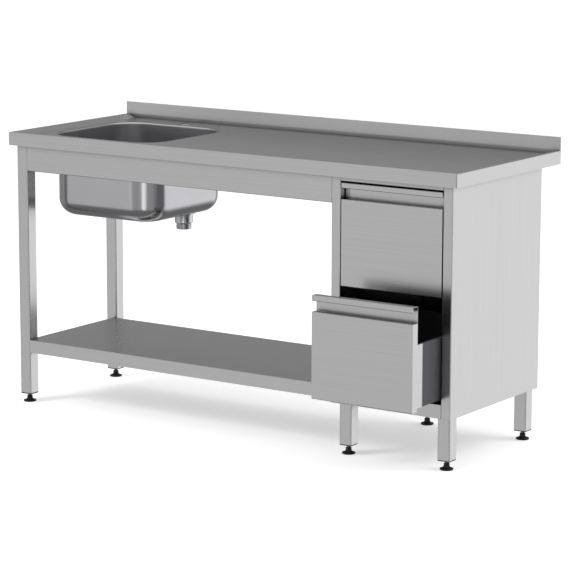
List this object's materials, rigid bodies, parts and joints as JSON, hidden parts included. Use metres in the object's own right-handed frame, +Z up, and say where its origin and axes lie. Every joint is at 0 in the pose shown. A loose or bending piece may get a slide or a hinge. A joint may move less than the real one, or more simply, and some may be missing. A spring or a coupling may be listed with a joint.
{
  "type": "stainless work table",
  "caption": "Stainless work table with a sunken rimmed top, a pressed sink bowl at the left, an under-shelf and a cabinet of deep drawers at the right.",
  "frame": {"origin": "on the floor, under the middle of the worktop", "axes": "+X to the right along the front, +Y towards the upstand at the back, +Z up"},
  "size_m": [1.6, 0.735, 0.89],
  "materials": {
    "brushed_stainless": "satin grained stainless sheet and tube",
    "polished_bowl": "polished pressed stainless",
    "chromed_waste": "bright chrome plate",
    "zinc_steel": "bright zinc plate",
    "graphite_coated_steel": "graphite grey powder coat on steel sheet",
    "black_plastic": "moulded matt polyamide",
    "seal_rubber": "matt moulded rubber",
    "laminated_board": "pale laminated particle board"
  },
  "bodies": {
    "table": {"bowl": "polished_bowl", "cabinet_back": "brushed_stainless", "cabinet_floor": "brushed_stainless", "cabinet_left_side": "brushed_stainless", "cabinet_right_side": "brushed_stainless", "cabinet_top_rail": "brushed_stainless", "core_board": "laminated_board", "front_rail": "brushed_stainless", "left_rail": "brushed_stainless", "leg_front_left": "brushed_stainless", "leg_front_middle": "brushed_stainless", "leg_front_right": "brushed_stainless", "leg_inserts": "black_plastic", "leg_rear_left": "brushed_stainless", "leg_rear_middle": "brushed_stainless", "leg_rear_right": "brushed_stainless", "lower_left_cabinet_runner": "zinc_steel", "lower_left_runner_bracket": "brushed_stainless", "lower_right_cabinet_runner": "zinc_steel", "lower_right_runner_bracket": "brushed_stainless", "rear_rail": "brushed_stainless", "shelf": "brushed_stainless", "shelf_stiffener": "brushed_stainless", "upper_left_cabinet_runner": "zinc_steel", "upper_left_runner_bracket": "brushed_stainless", "upper_right_cabinet_runner": "zinc_steel", "upper_right_runner_bracket": "brushed_stainless", "waste_body": "chromed_waste", "waste_screw": "zinc_steel", "waste_seal_lower": "seal_rubber", "waste_seal_upper": "seal_rubber", "waste_strainer": "chromed_waste", "worktop": "brushed_stainless"},
    "upper_drawer": {"upper_drawer_front": "brushed_stainless", "upper_drawer_box": "graphite_coated_steel", "upper_front_screws": "zinc_steel", "upper_left_drawer_runner": "zinc_steel", "upper_right_drawer_runner": "zinc_steel"},
    "upper_runner_middles": {"upper_left_middle_runner": "zinc_steel", "upper_right_middle_runner": "zinc_steel"},
    "lower_drawer": {"lower_drawer_front": "brushed_stainless", "lower_drawer_box": "graphite_coated_steel", "lower_front_screws": "zinc_steel", "lower_left_drawer_runner": "zinc_steel", "lower_right_drawer_runner": "zinc_steel"},
    "lower_runner_middles": {"lower_left_middle_runner": "zinc_steel", "lower_right_middle_runner": "zinc_steel"},
    "foot_front_left_unit": {"foot_front_left": "black_plastic", "stem_front_left": "zinc_steel"},
    "foot_rear_left_unit": {"foot_rear_left": "black_plastic", "stem_rear_left": "zinc_steel"},
    "foot_front_middle_unit": {"foot_front_middle": "black_plastic", "stem_front_middle": "zinc_steel"},
    "foot_rear_middle_unit": {"foot_rear_middle": "black_plastic", "stem_rear_middle": "zinc_steel"},
    "foot_front_right_unit": {"foot_front_right": "black_plastic", "stem_front_right": "zinc_steel"},
    "foot_rear_right_unit": {"foot_rear_right": "black_plastic", "stem_rear_right": "zinc_steel"}
  },
  "joints": [
    {"name": "upper_drawer_slide", "type": "slide", "parent": "table", "child": "upper_drawer", "axis": [0, -1, 0], "range_m": [0, 0.4]},
    {"name": "upper_runner_middle_slide", "type": "slide", "parent": "table", "child": "upper_runner_middles", "axis": [0, -1, 0], "range_m": [0, 0.2]},
    {"name": "lower_drawer_slide", "type": "slide", "parent": "table", "child": "lower_drawer", "axis": [0, -1, 0], "range_m": [-0.15, 0.25]},
    {"name": "lower_runner_middle_slide", "type": "slide", "parent": "table", "child": "lower_runner_middles", "axis": [0, -1, 0], "range_m": [-0.075, 0.125]},
    {"name": "foot_front_left_height", "type": "slide", "parent": "table", "child": "foot_front_left_unit", "axis": [0, 0, -1], "range_m": [-0.007, 0.025]},
    {"name": "foot_rear_left_height", "type": "slide", "parent": "table", "child": "foot_rear_left_unit", "axis": [0, 0, -1], "range_m": [-0.007, 0.025]},
    {"name": "foot_front_middle_height", "type": "slide", "parent": "table", "child": "foot_front_middle_unit", "axis": [0, 0, -1], "range_m": [-0.007, 0.025]},
    {"name": "foot_rear_middle_height", "type": "slide", "parent": "table", "child": "foot_rear_middle_unit", "axis": [0, 0, -1], "range_m": [-0.007, 0.025]},
    {"name": "foot_front_right_height", "type": "slide", "parent": "table", "child": "foot_front_right_unit", "axis": [0, 0, -1], "range_m": [-0.007, 0.025]},
    {"name": "foot_rear_right_height", "type": "slide", "parent": "table", "child": "foot_rear_right_unit", "axis": [0, 0, -1], "range_m": [-0.007, 0.025]}
  ],
  "couplings": [
    {"joint": "upper_runner_middle_slide", "follows": "upper_drawer_slide", "ratio": 0.5},
    {"joint": "lower_runner_middle_slide", "follows": "lower_drawer_slide", "ratio": 0.5}
  ]
}
